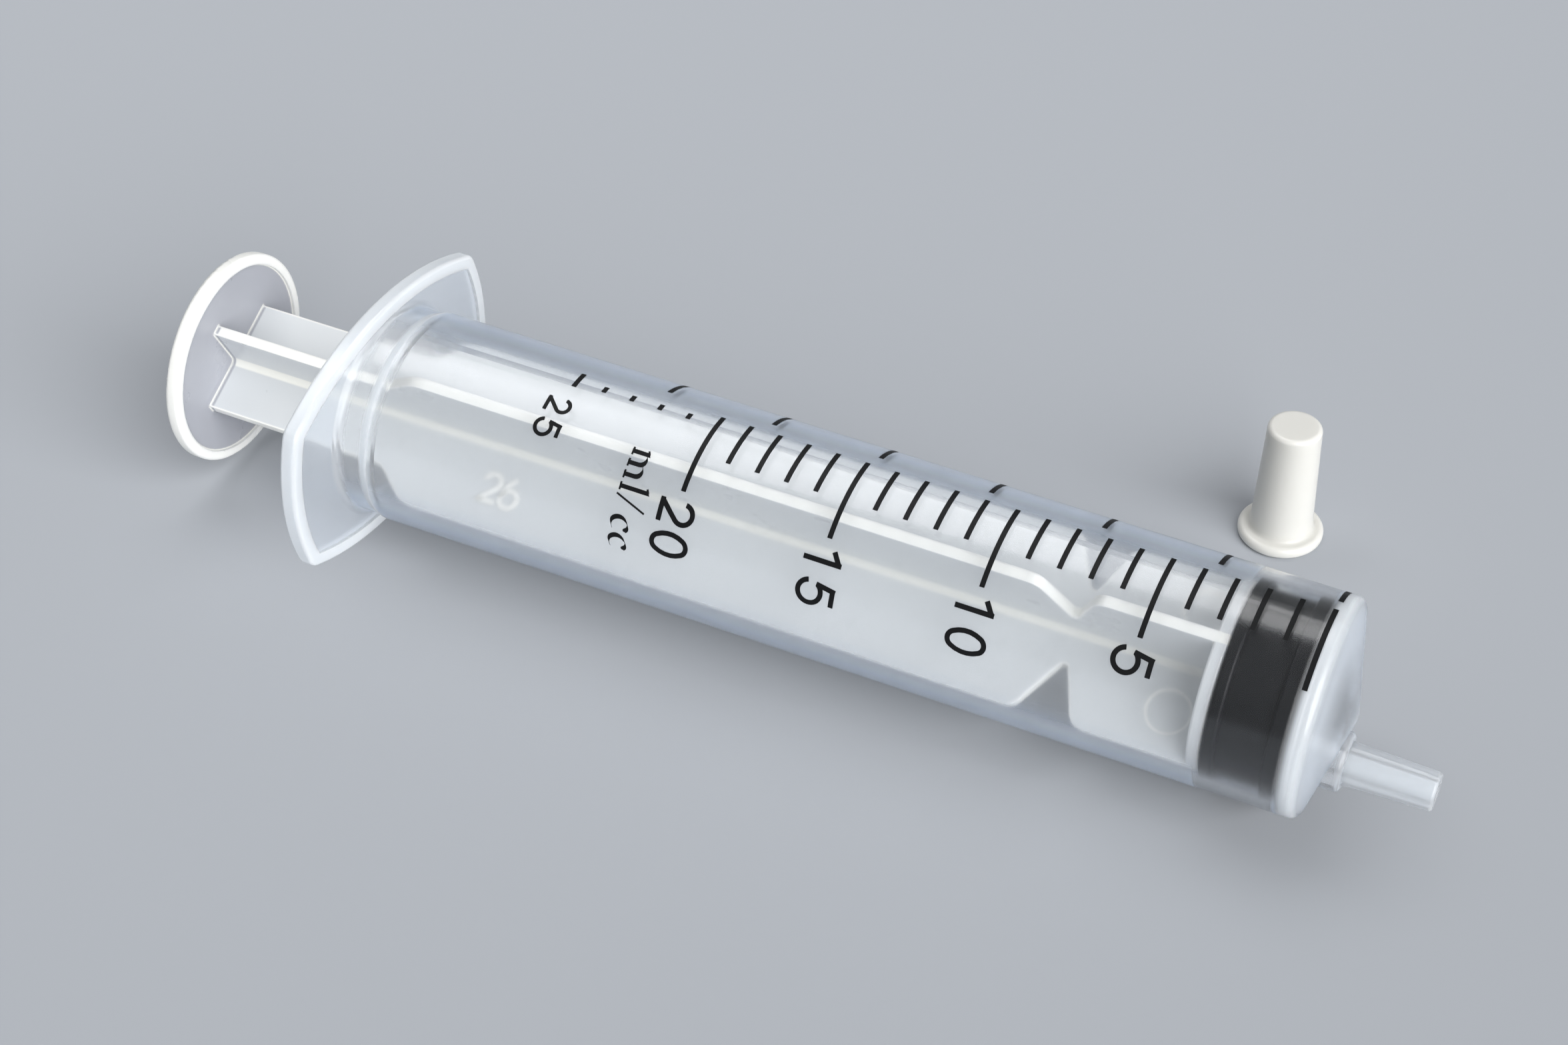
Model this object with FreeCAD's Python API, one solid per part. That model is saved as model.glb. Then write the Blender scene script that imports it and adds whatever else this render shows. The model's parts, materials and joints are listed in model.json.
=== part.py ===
import FreeCAD, Part
import math
import os

os.makedirs("parts", exist_ok=True)

# Luer slip syringe of 20 ml, with a scale that runs on to 25 ml, and its tip cap.
#
# Lengths are millimetres and angles are degrees. The syringe is drawn along its own axis: x is 0
# at the zero line of the scale and grows towards the nozzle, and z points up. At the end it is
# laid on the table, where it rests on its finger flange and on the front rim of its barrel. The
# cap stands on its mouth beside it, on the far side.

# Barrel: one clear moulding with the finger flange, the closed end and the nozzle
BORE_DIAMETER = 20.05
BARREL_WALL = 1.07              # at the front rim, where the tube is thinnest
BARREL_DRAFT = 0.22             # taper of the tube's outside, which widens towards the flange
BARREL_LENGTH = 101.8           # zero line to the front face of the flange
RIM_AHEAD = 1.55                # zero line to the front rim
RIM_ROUND = 0.9
END_CONE_ANGLE = 13.9           # slope of the closed end, from square to the axis
END_WALL = 1.35                 # thickness of the closed end, along the axis
GATE_DIAMETER = 0.8             # flat that the mould's gate leaves at the point of the end
NECK_LENGTH = 3.3               # waisted part of the tube, counted from the flange's front face
NECK_DEPTH = 0.28               # how far the waist lies inside the rest of the tube
NECK_ROUND = 0.8                # inside corner between the waist and the flange
NECK_LEDGE = 0.05               # flat left between that round and the flange's sunk face
NECK_SLOPE = 0.7                # run of the slope from the waist up to the full tube
NECK_SLOPE_ROUND = 0.5
MOUTH_DIAMETER = 20.75
MOUTH_DEPTH = 4.2               # wide mouth, counted from the back of the flange
MOUTH_CHAMFER = 0.5
BEAD_HEIGHT = 0.2               # ring in the bore that keeps the stopper in
BEAD_LENGTH = 1.6
BEAD_SLOPE = 0.56               # run of the slopes up to the bead and down from it
BORE_ROUND = 0.3                # inside corners of the bore, at the bead and at the closed end

# Finger flange: a plate with two long and two short sides, all of them arcs
FLANGE_LENGTH = 38.45
FLANGE_WIDTH = 26.1
FLANGE_THICKNESS = 1.8
FLANGE_SIDE_RADIUS = 38.1
FLANGE_END_RADIUS = 22.8
FLANGE_CORNER_RADIUS = 2.0
FLANGE_INNER_CORNER_RADIUS = 1.0
FLANGE_EDGE_ROUND = 0.4
FLANGE_RIM_WIDTH = 1.5
FLANGE_RIM_HEIGHT = 0.35

# Nozzle: a male slip cone of the usual 6 in 100 taper, set low in the closed end
LUER_TAPER = 0.06
NOZZLE_TIP_DIAMETER = 3.95
NOZZLE_OFFSET = 6.2             # axis of the nozzle below the axis of the barrel
NOZZLE_REACH = 12.95            # zero line to the tip
NOZZLE_EDGE_ROUND = 0.35
NOZZLE_BORE_DIAMETER = 2.0
COLLAR_DIAMETER = 6.1
COLLAR_REACH = 4.15             # zero line to the front of the collar
COLLAR_EDGE_ROUND = 0.5

# Stopper: black rubber, with a sealing rib at each end and a blunt cone in front
SEAL_CLEARANCE = 0.025          # running gap between the ribs and the bore
STOPPER_BACK = 8.0              # back face, behind the zero line
STOPPER_FRONT = 0.4             # front edge of the front rib, behind the zero line
REAR_RIB_LENGTH = 1.3
FRONT_RIB_LENGTH = 1.7
RIB_EDGE_ROUND = 0.35
WAIST_DEPTH = 0.65              # how far the middle of the stopper lies inside its ribs
NOSE_STEP = 0.5                 # ledge between the front rib and the cone
NOSE_CLEARANCE = 0.25           # gap between the cone and the closed end, on the axis

# Plunger rod: one moulding of four webs, a front disc, a snap head and the thumb press
WEB_CLEARANCE = 0.42            # gap between the edges of the webs and the bore
WEB_THICKNESS = 1.1
WEB_ROOT_ROUND = 0.7
WEB_TURN = 27.0                 # how far the webs are turned from upright as the syringe lies
GRIP_WEB_RADIUS = 6.5           # narrower webs behind the flange
SHOULDER_INSET = 1.8            # start of the shoulder, ahead of the flange's front face
SHOULDER_LENGTH = 4.0
SHOULDER_START_ROUND = 2.5
SHOULDER_END_ROUND = 4.0
DISC_THICKNESS = 1.4
DISC_EDGE_ROUND = 0.3
HEAD_SEAT_GAP = 0.05            # running gap all round the head in its socket
HEAD_NECK_DIAMETER = 5.2
HEAD_NECK_LENGTH = 1.9
HEAD_DIAMETER = 8.4
HEAD_LAND = 0.7
HEAD_LENGTH = 2.9
HEAD_TIP_DIAMETER = 4.6
NOTCH_POSITION = 23.7           # bottom of the notch, behind the zero line
NOTCH_BOTTOM_RADIUS = 4.1
NOTCH_BOTTOM_LENGTH = 0.6
NOTCH_BACK_RUN = 3.0
NOTCH_FRONT_RUN = 2.3
NOTCH_EDGE_ROUND = 1.8
EJECTOR_DIAMETER = 4.4
EJECTOR_DEPTH = 0.12
EJECTOR_INSET = 3.2             # centre of the mark, behind the back of the front disc
EJECTOR_HEIGHT = 5.4            # centre of the mark, out from the axis

# Thumb press
THUMB_ROOM = 17.9               # back of the flange to the thumb press, plunger home
THUMB_DIAMETER = 23.4
THUMB_THICKNESS = 1.6
THUMB_RIM_WIDTH = 1.1
THUMB_RIM_HEIGHT = 0.35
THUMB_EDGE_ROUND = 0.45
RIDGE_PITCH = 1.8
RIDGE_WIDTH = 0.7
RIDGE_HEIGHT = 0.25
RIDGE_ROOT = 0.2                # how far a ridge reaches into the press, so that they are one

# Tip cap
CAP_HEIGHT = 14.75
CAP_TOP_DIAMETER = 5.75
CAP_FOOT_DIAMETER = 6.75        # body of the cap where it meets the rim
CAP_RIM_DIAMETER = 9.2
CAP_RIM_HEIGHT = 1.3
CAP_RIM_ROUND = 0.55
CAP_TOP_ROUND = 0.5
CAP_FILLET = 0.5
CAP_ENGAGEMENT = 7.0            # length of nozzle that the socket takes
CAP_SOCKET_DEPTH = 9.5
CAP_MOUTH_CHAMFER = 0.2
CAP_BEHIND = 13.25              # cap behind the zero line
CAP_ASIDE = 35.4                # cap beyond the axis of the syringe

AXIS = FreeCAD.Vector(1, 0, 0)
ORIGIN = FreeCAD.Vector(0, 0, 0)

bore_radius = BORE_DIAMETER / 2
barrel_radius = bore_radius + BARREL_WALL
draft = math.radians(BARREL_DRAFT)
rear_radius = barrel_radius + (BARREL_LENGTH + RIM_AHEAD) * math.tan(draft)
end_slope = math.tan(math.radians(END_CONE_ANGLE))
flange_front = -BARREL_LENGTH
flange_back = flange_front - FLANGE_THICKNESS
end_point = RIM_AHEAD + barrel_radius * end_slope
inner_point = end_point - END_WALL
mouth_radius = MOUTH_DIAMETER / 2
mouth_end = flange_back + MOUTH_DEPTH
bead_radius = bore_radius - BEAD_HEIGHT
nozzle_tip_radius = NOZZLE_TIP_DIAMETER / 2
web_radius = bore_radius - WEB_CLEARANCE
disc_front = -STOPPER_BACK - HEAD_SEAT_GAP
disc_back = disc_front - DISC_THICKNESS
thumb_front = flange_back - THUMB_ROOM
thumb_back = thumb_front - THUMB_THICKNESS


def rounded_face(corners):
    """Flat face in the XZ plane from corners (x, z) or (x, z, radius of the rounded corner)."""
    points = [FreeCAD.Vector(corner[0], 0, corner[1]) for corner in corners]
    radii = [corner[2] if len(corner) > 2 else 0 for corner in corners]
    arcs = {}
    ends = []
    for i, point in enumerate(points):
        before = (points[i - 1] - point).normalize()
        after = (points[(i + 1) % len(points)] - point).normalize()
        half_angle = before.getAngle(after) / 2
        if radii[i] == 0 or abs(half_angle - math.pi / 2) < 1e-6:
            ends.append((point, point))
            continue
        run = radii[i] / math.tan(half_angle)
        start = point + before * run
        finish = point + after * run
        inward = (before + after).normalize()
        middle = point + inward * (radii[i] / math.sin(half_angle) - radii[i])
        arcs[i] = Part.Arc(start, middle, finish).toShape()
        ends.append((start, finish))
    outline = []
    for i in range(len(points)):
        if i in arcs:
            outline.append(arcs[i])
        start = ends[i][1]
        finish = ends[(i + 1) % len(points)][0]
        if start.distanceToPoint(finish) > 1e-6:
            outline.append(Part.LineSegment(start, finish).toShape())
    return Part.Face(Part.Wire(outline))


def turned(corners, axis=AXIS):
    """Solid turned about an axis through the origin from corners beside that axis."""
    return rounded_face(corners).revolve(ORIGIN, axis, 360)


def rod_between(x_start, x_end, radius, drop=0.0):
    """Round bar along the axis, or below it by drop."""
    return Part.makeCylinder(radius, x_end - x_start, FreeCAD.Vector(x_start, 0, -drop), AXIS)


def flange_plate(x_start, x_end, inset, corner_radius):
    """Plate that four discs leave in common: two for the long sides, two for the ends."""
    side = FLANGE_SIDE_RADIUS - FLANGE_WIDTH / 2
    end = FLANGE_END_RADIUS - FLANGE_LENGTH / 2
    plate = None
    for y, z, radius in (
        (0, -side, FLANGE_SIDE_RADIUS),
        (0, side, FLANGE_SIDE_RADIUS),
        (-end, 0, FLANGE_END_RADIUS),
        (end, 0, FLANGE_END_RADIUS),
    ):
        disc = Part.makeCylinder(radius - inset, x_end - x_start, FreeCAD.Vector(x_start, y, z), AXIS)
        plate = disc if plate is None else plate.common(disc)
    corners = [edge for edge in plate.Edges if len(edge.Vertexes) == 2 and is_along_axis(edge)]
    return plate.makeFillet(corner_radius, corners)


def is_along_axis(edge):
    """True where a straight edge runs along the barrel."""
    first, last = edge.Vertexes[0].Point, edge.Vertexes[-1].Point
    return abs(first.y - last.y) < 1e-6 and abs(first.z - last.z) < 1e-6


def round_face_edges(shape, x, radius):
    """Round every edge that lies in the plane across the axis at x."""
    edges = [
        edge for edge in shape.Edges
        if abs(edge.BoundBox.XMin - x) < 1e-4 and abs(edge.BoundBox.XMax - x) < 1e-4
    ]
    return shape.makeFillet(radius, edges)


def finger_flange():
    """Plate with rounded edges and a raised rim on both faces."""
    plate = flange_plate(flange_back, flange_front, 0, FLANGE_CORNER_RADIUS)
    plate = round_face_edges(plate, flange_front, FLANGE_EDGE_ROUND)
    plate = round_face_edges(plate, flange_back, FLANGE_EDGE_ROUND)
    front_floor = flange_front - FLANGE_RIM_HEIGHT
    back_floor = flange_back + FLANGE_RIM_HEIGHT
    for x_start, x_end in ((front_floor, flange_front + 1), (flange_back - 1, back_floor)):
        plate = plate.cut(flange_plate(x_start, x_end, FLANGE_RIM_WIDTH, FLANGE_INNER_CORNER_RADIUS))
    return plate


def nozzle():
    """Collar and slip cone, still without the bore, drawn on the barrel's axis."""
    base_radius = nozzle_tip_radius + LUER_TAPER / 2 * (NOZZLE_REACH - COLLAR_REACH)
    return turned([
        (0, 0),
        (0, COLLAR_DIAMETER / 2),
        (COLLAR_REACH, COLLAR_DIAMETER / 2, COLLAR_EDGE_ROUND),
        (COLLAR_REACH, base_radius),
        (NOZZLE_REACH, nozzle_tip_radius, NOZZLE_EDGE_ROUND),
        (NOZZLE_REACH, 0),
    ])


def barrel():
    """Tube with its flange, waisted neck, closed end and nozzle."""
    waist_radius = rear_radius - NECK_DEPTH
    waist_end = flange_front + NECK_LENGTH - NECK_SLOPE
    neck_radius = waist_radius + NECK_ROUND + NECK_LEDGE
    front_floor = flange_front - FLANGE_RIM_HEIGHT
    back_floor = flange_back + FLANGE_RIM_HEIGHT
    gate_radius = GATE_DIAMETER / 2
    tube = turned([
        (back_floor, 0),
        (back_floor, neck_radius),
        (front_floor, neck_radius),
        (front_floor, waist_radius, NECK_ROUND),
        (waist_end, waist_radius, NECK_SLOPE_ROUND),
        (waist_end + NECK_SLOPE, rear_radius, NECK_SLOPE_ROUND),
        (RIM_AHEAD, barrel_radius, RIM_ROUND),
        (end_point - gate_radius * end_slope, gate_radius),
        (end_point - gate_radius * end_slope, 0),
    ])
    body = tube.fuse(finger_flange())
    lowered = nozzle()
    lowered.translate(FreeCAD.Vector(0, 0, -NOZZLE_OFFSET))
    body = body.fuse(lowered)
    bore_end = inner_point - bore_radius * end_slope
    bead_back = mouth_end
    bead_front = mouth_end + BEAD_LENGTH
    cavity = turned([
        (flange_back - 1, 0),
        (flange_back - 1, mouth_radius + MOUTH_CHAMFER),
        (back_floor, mouth_radius + MOUTH_CHAMFER),
        (back_floor + MOUTH_CHAMFER, mouth_radius),
        (bead_back, mouth_radius),
        (bead_back + BEAD_SLOPE, bead_radius, BORE_ROUND),
        (bead_front - BEAD_SLOPE, bead_radius, BORE_ROUND),
        (bead_front, bore_radius),
        (bore_end, bore_radius, BORE_ROUND),
        (inner_point, 0),
    ])
    bore = rod_between(bore_end, NOZZLE_REACH + 1, NOZZLE_BORE_DIAMETER / 2, NOZZLE_OFFSET)
    return body.cut(cavity).cut(bore).removeSplitter()


def head_corners(gap):
    """Outline of the rod's neck and snap head, grown by a gap for the socket around it."""
    head_back = disc_front + HEAD_NECK_LENGTH
    return [
        (disc_front - gap, 0),
        (disc_front - gap, HEAD_NECK_DIAMETER / 2 + gap),
        (head_back - gap, HEAD_NECK_DIAMETER / 2 + gap),
        (head_back - gap, HEAD_DIAMETER / 2 + gap),
        (head_back + HEAD_LAND + gap, HEAD_DIAMETER / 2 + gap),
        (head_back + HEAD_LENGTH + gap, HEAD_TIP_DIAMETER / 2 + gap),
        (head_back + HEAD_LENGTH + gap, 0),
    ]


def stopper():
    """Rubber stopper with its socket for the rod's head."""
    seal_radius = bore_radius - SEAL_CLEARANCE
    waist_radius = seal_radius - WAIST_DEPTH
    back = -STOPPER_BACK
    front = -STOPPER_FRONT
    nose_radius = seal_radius - NOSE_STEP
    body = turned([
        (back, 0),
        (back, seal_radius, RIB_EDGE_ROUND),
        (back + REAR_RIB_LENGTH, seal_radius, RIB_EDGE_ROUND),
        (back + REAR_RIB_LENGTH, waist_radius),
        (front - FRONT_RIB_LENGTH, waist_radius),
        (front - FRONT_RIB_LENGTH, seal_radius, RIB_EDGE_ROUND),
        (front, seal_radius, RIB_EDGE_ROUND),
        (front, nose_radius),
        (inner_point - NOSE_CLEARANCE, 0),
    ])
    return body.cut(turned(head_corners(HEAD_SEAT_GAP)))


def web_plate():
    """One of the rod's two crossed plates, upright, with its shoulders and notches."""
    shoulder_start = flange_front + SHOULDER_INSET
    notch = -NOTCH_POSITION
    half_bottom = NOTCH_BOTTOM_LENGTH / 2
    edge = [
        (thumb_back + THUMB_THICKNESS / 2, GRIP_WEB_RADIUS),
        (shoulder_start, GRIP_WEB_RADIUS, SHOULDER_START_ROUND),
        (shoulder_start + SHOULDER_LENGTH, web_radius, SHOULDER_END_ROUND),
        (notch - half_bottom - NOTCH_BACK_RUN, web_radius, NOTCH_EDGE_ROUND),
        (notch - half_bottom, NOTCH_BOTTOM_RADIUS),
        (notch + half_bottom, NOTCH_BOTTOM_RADIUS),
        (notch + half_bottom + NOTCH_FRONT_RUN, web_radius, NOTCH_EDGE_ROUND),
        (disc_front - DISC_THICKNESS / 2, web_radius),
    ]
    lower = [(corner[0], -corner[1]) + corner[2:] for corner in reversed(edge)]
    face = rounded_face(edge + lower)
    face.translate(FreeCAD.Vector(0, -WEB_THICKNESS / 2, 0))
    return face.extrude(FreeCAD.Vector(0, WEB_THICKNESS, 0))


def crossed_webs():
    """Two plates through each other, with the corners along the axis filled out."""
    upright = web_plate()
    level = web_plate()
    level.rotate(ORIGIN, AXIS, 90)
    cross = upright.fuse(level)
    reach = WEB_THICKNESS / 2
    roots = [
        edge for edge in cross.Edges
        if is_along_axis(edge)
        and abs(abs(edge.Vertexes[0].Point.y) - reach) < 1e-4
        and abs(abs(edge.Vertexes[0].Point.z) - reach) < 1e-4
    ]
    return cross.makeFillet(WEB_ROOT_ROUND, roots)


def thumb_press():
    """Round press with a raised rim on both faces and grip ridges across the back."""
    radius = THUMB_DIAMETER / 2
    inner_radius = radius - THUMB_RIM_WIDTH
    front_floor = thumb_front - THUMB_RIM_HEIGHT
    back_floor = thumb_back + THUMB_RIM_HEIGHT
    press = turned([
        (back_floor, 0),
        (back_floor, inner_radius),
        (thumb_back, inner_radius),
        (thumb_back, radius, THUMB_EDGE_ROUND),
        (thumb_front, radius, THUMB_EDGE_ROUND),
        (thumb_front, inner_radius),
        (front_floor, inner_radius),
        (front_floor, 0),
    ])
    count = int((inner_radius - RIDGE_WIDTH) // RIDGE_PITCH)
    for i in range(-count, count + 1):
        offset = i * RIDGE_PITCH
        half_length = math.sqrt((inner_radius + THUMB_RIM_WIDTH / 2) ** 2 - offset ** 2)
        ridge = Part.makeBox(
            RIDGE_HEIGHT + RIDGE_ROOT, 2 * half_length, RIDGE_WIDTH,
            FreeCAD.Vector(back_floor - RIDGE_HEIGHT, -half_length, offset - RIDGE_WIDTH / 2),
        )
        press = press.fuse(ridge)
    return press


def plunger_rod():
    """Rod with its thumb press, front disc and snap head, turned as it lies."""
    disc = turned([
        (disc_back, 0),
        (disc_back, web_radius, DISC_EDGE_ROUND),
        (disc_front, web_radius, DISC_EDGE_ROUND),
        (disc_front, 0),
    ])
    rod = crossed_webs().fuse(disc).fuse(thumb_press()).fuse(turned(head_corners(0)))
    mark_centre = disc_back - EJECTOR_INSET
    for side in (1, -1):
        mark = Part.makeCylinder(
            EJECTOR_DIAMETER / 2, EJECTOR_DEPTH,
            FreeCAD.Vector(mark_centre, side * EJECTOR_HEIGHT, WEB_THICKNESS / 2 - EJECTOR_DEPTH),
            FreeCAD.Vector(0, 0, 1),
        )
        rod = rod.cut(mark)
    rod = rod.removeSplitter()
    rod.rotate(ORIGIN, AXIS, WEB_TURN)
    return rod


def tip_cap():
    """Tapered cap standing on its mouth, with a socket of the nozzle's own taper."""
    socket_radius = nozzle_tip_radius + LUER_TAPER / 2 * CAP_ENGAGEMENT
    socket_end_radius = socket_radius - LUER_TAPER / 2 * CAP_SOCKET_DEPTH
    return turned([
        (0, CAP_SOCKET_DEPTH),
        (socket_end_radius, CAP_SOCKET_DEPTH),
        (socket_radius, CAP_MOUTH_CHAMFER),
        (socket_radius + CAP_MOUTH_CHAMFER, 0),
        (CAP_RIM_DIAMETER / 2, 0, CAP_RIM_ROUND),
        (CAP_RIM_DIAMETER / 2, CAP_RIM_HEIGHT, CAP_RIM_ROUND),
        (CAP_FOOT_DIAMETER / 2, CAP_RIM_HEIGHT, CAP_FILLET),
        (CAP_TOP_DIAMETER / 2, CAP_HEIGHT, CAP_TOP_ROUND),
        (0, CAP_HEIGHT),
    ], FreeCAD.Vector(0, 0, 1))


def resting_place():
    """Placement of the syringe on the table: tilt and height from its two points of rest."""
    rim_run = RIM_ROUND / math.tan(math.radians(45 + (END_CONE_ANGLE + BARREL_DRAFT) / 2))
    rim_x = RIM_AHEAD - rim_run * math.cos(draft) - RIM_ROUND * math.sin(draft)
    rim_drop = barrel_radius + rim_run * math.sin(draft) - RIM_ROUND * math.cos(draft)
    run = rim_x - (flange_front - FLANGE_EDGE_ROUND)
    fall = (FLANGE_WIDTH / 2 - FLANGE_EDGE_ROUND) - rim_drop
    spread = math.hypot(run, fall)
    tilt = math.atan2(fall, run) + math.asin((FLANGE_EDGE_ROUND - RIM_ROUND) / spread)
    height = rim_x * math.sin(tilt) + rim_drop * math.cos(tilt) + RIM_ROUND
    turn = FreeCAD.Rotation(FreeCAD.Vector(0, 1, 0), math.degrees(tilt))
    return FreeCAD.Placement(FreeCAD.Vector(0, 0, height), turn)


place = resting_place()
pieces = {
    "barrel": barrel(),
    "stopper": stopper(),
    "plunger_rod": plunger_rod(),
}
for piece in pieces.values():
    piece.Placement = place.multiply(piece.Placement)
pieces["tip_cap"] = tip_cap()
pieces["tip_cap"].translate(FreeCAD.Vector(-CAP_BEHIND, CAP_ASIDE, 0))

# The origin is on the table under the middle of everything
box = Part.makeCompound(list(pieces.values())).optimalBoundingBox(False, False)
middle = FreeCAD.Vector(-box.Center.x, -box.Center.y, 0)
for name, piece in pieces.items():
    piece.translate(middle)
    piece.exportStep("parts/" + name + ".step")
    print(name, piece.isValid(), len(piece.Solids), round(piece.Volume, 2))
print("box", [round(v, 3) for v in (box.XLength, box.YLength, box.ZMin, box.ZMax)])
print("zero line on the table at", round(middle.x, 4), round(middle.y, 4))
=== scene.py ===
import json
import math

import bmesh
import bpy
from mathutils import Matrix, Vector


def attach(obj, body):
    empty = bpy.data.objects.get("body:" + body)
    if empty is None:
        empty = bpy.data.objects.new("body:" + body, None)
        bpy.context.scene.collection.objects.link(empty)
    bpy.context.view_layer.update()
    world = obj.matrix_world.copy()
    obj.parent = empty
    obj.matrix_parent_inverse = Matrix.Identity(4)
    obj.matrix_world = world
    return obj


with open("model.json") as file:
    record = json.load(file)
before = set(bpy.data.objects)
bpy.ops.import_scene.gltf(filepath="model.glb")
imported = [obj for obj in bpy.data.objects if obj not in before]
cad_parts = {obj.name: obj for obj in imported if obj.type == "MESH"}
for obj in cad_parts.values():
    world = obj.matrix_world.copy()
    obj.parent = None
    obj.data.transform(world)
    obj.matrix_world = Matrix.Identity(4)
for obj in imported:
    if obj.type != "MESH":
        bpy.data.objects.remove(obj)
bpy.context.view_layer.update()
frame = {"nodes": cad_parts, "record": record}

# Barrel: one moulding of clear polypropylene, the tube with its finger flange, closed end and nozzle.
# It is glossy from a polished mould, with faint ripples where the plastic flowed. Thick and bent
# places are milky, because crystals had time to grow in them.
CLEAR_COLOUR = "#F5F7FA"
MILKY_COLOUR = "#E8ECF0"
HAZE_COLOUR = "#D2E1F6"
CLEAR_SMOOTH = 0.1
CLEAR_DULL = 0.17
CLEAR_PATCH = 9.0                # millimetres from one dull patch to the next
POLYPROPYLENE_IOR = 1.49
RIPPLE_LENGTH = 7.0              # millimetres from one ripple to the next
RIPPLE_HEIGHT = 0.008
MILKY_SPREAD = 1.0               # millimetres that light spreads inside the milky plastic
MILKY_ALONG = (                  # place along the axis, and share of the light that scatters there
    (-103.6, 0.2),               # flange
    (-101.7, 0.2),
    (-101.4, 0.1),               # waist
    (-99.5, 0.1),
    (-99.1, 0.5),                # step up to the tube
    (-98.6, 0.5),
    (-98.1, 0.08),               # tube
    (-8.6, 0.08),
    (-8.3, 0.005),               # wetted by the stopper
    (-0.4, 0.005),
    (0.1, 0.5),                  # front rim
    (1.4, 0.5),
    (1.7, 0.1),                  # closed end
    (3.6, 0.1),
    (4.3, 0.32),                 # nozzle
    (12.95, 0.32),
)
MILKY_SOONER = 3.0               # times sooner that the colour turns milky than all the light scatters
HAZE_START = 0.35                # from 0, looked at squarely, to 1, looked along
HAZE = 0.65                      # share that scatters where the wall is looked along, a longer way through
HAZE_FADE = 0.3                  # millimetres along the axis in which the haze changes
WET_HAZE = 0.3                   # what is left of it where the wall is wetted by the stopper
WET_START = -8.4
WET_END = -0.4
CLOSED_START = 1.4
CLOSED_END = 4.3
CLOSED_FADE = 0.7                # millimetres in which the haze comes back on the nozzle
CLOSED_CALM = 0.7                # how far the haze of the closed end drops to that of the wetted wall
RIM_MILKY = 0.7                  # share that scatters in the flange's rim
RIM_DEPTH = 1.5                  # from the flange's outline to the foot of its rim
RIM_FADE = 0.1
FLANGE_FRONT = -101.7
FLANGE_SIDE_RADIUS = 38.1
FLANGE_SIDE_CENTRE = 25.05       # beyond the axis
FLANGE_END_RADIUS = 22.8
FLANGE_END_CENTRE = 3.575
MILLIMETRE = 0.001
ZERO_LINE = Vector(frame["record"]["behaviour"]["joints"][1]["pos_m"])
AXIS = Vector(frame["record"]["behaviour"]["joints"][1]["axis"]).normalized()
ASIDE = Vector((0, -1, 0))
ABOVE = ASIDE.cross(AXIS)


def linear(hex_colour):
    """Linear colour, with full alpha, of an sRGB hex value."""
    channels = [int(hex_colour[i:i + 2], 16) / 255 for i in (1, 3, 5)]
    return [c / 12.92 if c <= 0.04045 else ((c + 0.055) / 1.055) ** 2.4 for c in channels] + [1]


def feed(material, socket, value):
    """Links a node's first output, or a socket, to an input, or gives the input a fixed value."""
    if isinstance(value, bpy.types.Node):
        value = value.outputs[0]
    if isinstance(value, bpy.types.NodeSocket):
        material.node_tree.links.new(value, socket)
    else:
        socket.default_value = value


def add_node(material, kind, settings=None, *feeds, **named_feeds):
    """Adds a node. Its inputs are fed in their order, or by their names with _ for a space."""
    node = material.node_tree.nodes.new(kind)
    for name, value in (settings or {}).items():
        setattr(node, name, value)
    for socket, value in zip(node.inputs, feeds):
        feed(material, socket, value)
    for name, value in named_feeds.items():
        feed(material, node.inputs[name.replace("_", " ")], value)
    return node


def new_material(name):
    """Material with an empty node tree but for its output."""
    material = bpy.data.materials.new(name)
    material.use_nodes = True
    material.node_tree.nodes.remove(material.node_tree.nodes["Principled BSDF"])
    return material


def finish_material(material, shader):
    """Links a shader to the material's output."""
    feed(material, material.node_tree.nodes["Material Output"].inputs["Surface"], shader)
    return material


def lets_light_in(material, shader):
    """Shader that bends what is seen through it, but lets light straight in, as a thin clear wall does."""
    path = add_node(material, "ShaderNodeLightPath")
    open_way = add_node(material, "ShaderNodeBsdfTransparent")
    for ray in ("Is Diffuse Ray", "Is Shadow Ray"):
        shader = add_node(material, "ShaderNodeMixShader", None, path.outputs[ray], shader, open_way)
    return shader


def ripples(material, length, height):
    """Bump of a moulded surface, from the length and height of its ripples in millimetres."""
    place = add_node(material, "ShaderNodeTexCoord")
    noise = add_node(
        material, "ShaderNodeTexNoise",
        Vector=place.outputs["Object"], Scale=1 / (length * MILLIMETRE), Detail=2.0, Roughness=0.5,
    )
    return add_node(material, "ShaderNodeBump", Height=noise, Strength=1.0, Distance=height * MILLIMETRE)


def patches(material, length, low, high):
    """Values between low and high in soft patches, from the patches' length in millimetres."""
    place = add_node(material, "ShaderNodeTexCoord")
    noise = add_node(
        material, "ShaderNodeTexNoise",
        Vector=place.outputs["Object"], Scale=1 / (length * MILLIMETRE), Detail=4.0, Roughness=0.6,
    )
    return add_node(
        material, "ShaderNodeMapRange",
        Value=noise, From_Min=0.25, From_Max=0.75, To_Min=low, To_Max=high,
    )


def dress(node_name, material):
    """Gives a CAD node a material."""
    piece = frame["nodes"][node_name]
    piece.data.materials.clear()
    piece.data.materials.append(material)


def rises(material, value, low, high):
    """Ramp from 0 to 1 as a length goes from low to high, in millimetres."""
    return add_node(
        material, "ShaderNodeMapRange",
        Value=value, From_Min=low * MILLIMETRE, From_Max=high * MILLIMETRE, To_Min=0.0, To_Max=1.0,
    )


def reach_along(material, arm, way):
    """How far an arm reaches in a direction."""
    return add_node(material, "ShaderNodeVectorMath", {"operation": "DOT_PRODUCT"}, arm, way).outputs["Value"]


def diagonal(material, first, second):
    """Length of the diagonal over two lengths."""
    corner = add_node(material, "ShaderNodeCombineXYZ", X=first, Y=second)
    return add_node(material, "ShaderNodeVectorMath", {"operation": "LENGTH"}, corner).outputs["Value"]


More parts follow.
